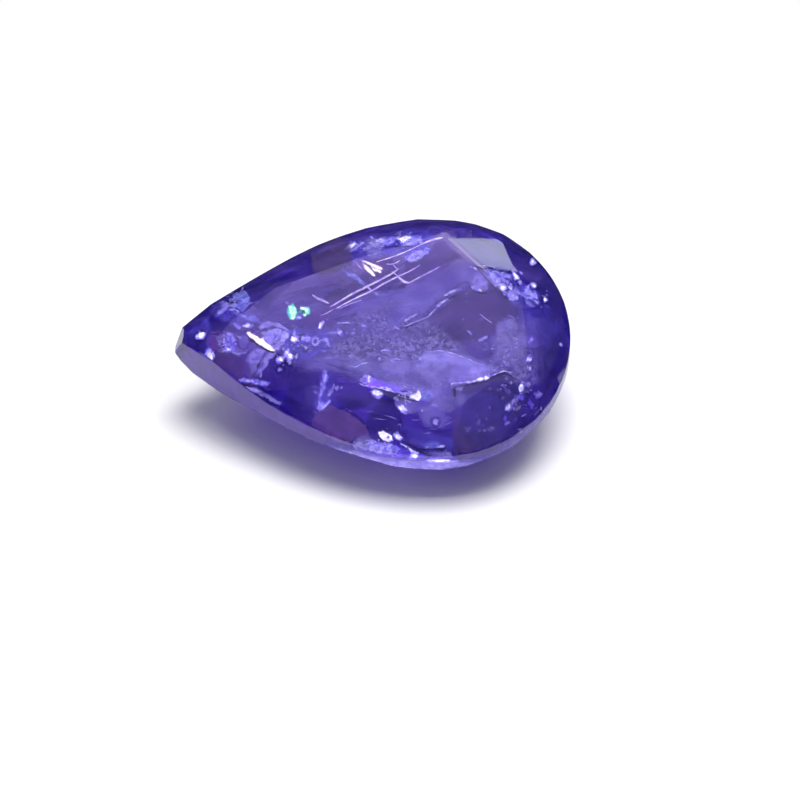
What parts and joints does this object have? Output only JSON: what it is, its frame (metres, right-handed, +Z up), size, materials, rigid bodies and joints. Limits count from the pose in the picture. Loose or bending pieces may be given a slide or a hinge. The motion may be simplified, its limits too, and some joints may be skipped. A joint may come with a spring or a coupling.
{
  "type": "pear-cut tanzanite gemstone",
  "caption": "Faceted pear-cut blue-violet tanzanite with a thick uneven girdle and many inclusions, lying tilted on a shallow facet of its pavilion.",
  "frame": {"origin": "on the resting surface, under the middle of the stone's box", "axes": "+X from the tip to the round head, -Y the side the table leans towards, +Z up from the resting surface"},
  "size_m": [0.01, 0.0078, 0.004],
  "materials": {
    "tanzanite_crystal": "polished clear crystal, blue-violet, with inclusions"
  },
  "bodies": {
    "root": {"tanzanite": "tanzanite_crystal"}
  },
  "joints": []
}
